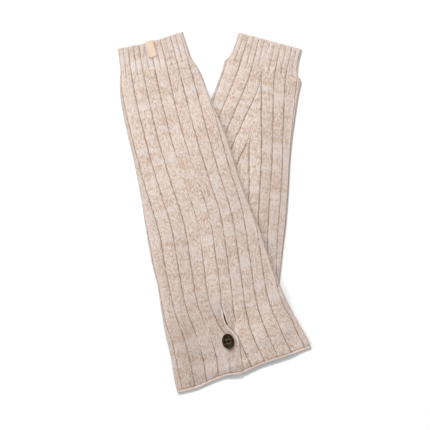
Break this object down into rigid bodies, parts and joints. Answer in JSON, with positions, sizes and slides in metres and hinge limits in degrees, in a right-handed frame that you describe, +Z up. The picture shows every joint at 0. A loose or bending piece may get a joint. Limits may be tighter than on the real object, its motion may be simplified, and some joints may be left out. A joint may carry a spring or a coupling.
{
  "type": "pair of knitted leg warmers",
  "caption": "Ribbed knitted leg warmers laid flat and crossed, with fine cuffs, a shaped calf and a buttoned vent at the hem.",
  "frame": {"origin": "middle of the pair's bounding box, on the surface it lies on", "axes": "+Z up, away from the surface; +Y towards the cuffs; +X to the right seen from above with the cuffs at the top"},
  "size_m": [0.2311, 0.4321, 0.0195],
  "materials": {
    "front_knit": "matt marled wool-like rib knit, beige and off-white",
    "back_knit": "matt marled wool-like rib knit, beige and off-white",
    "label_tape": "plain woven cotton tape, cream, bare",
    "button_horn": "polished mottled dark brown, horn-like"
  },
  "bodies": {
    "root": {"front_leg": "front_knit", "back_leg": "back_knit", "label_tab": "label_tape", "button": "button_horn"}
  },
  "joints": []
}
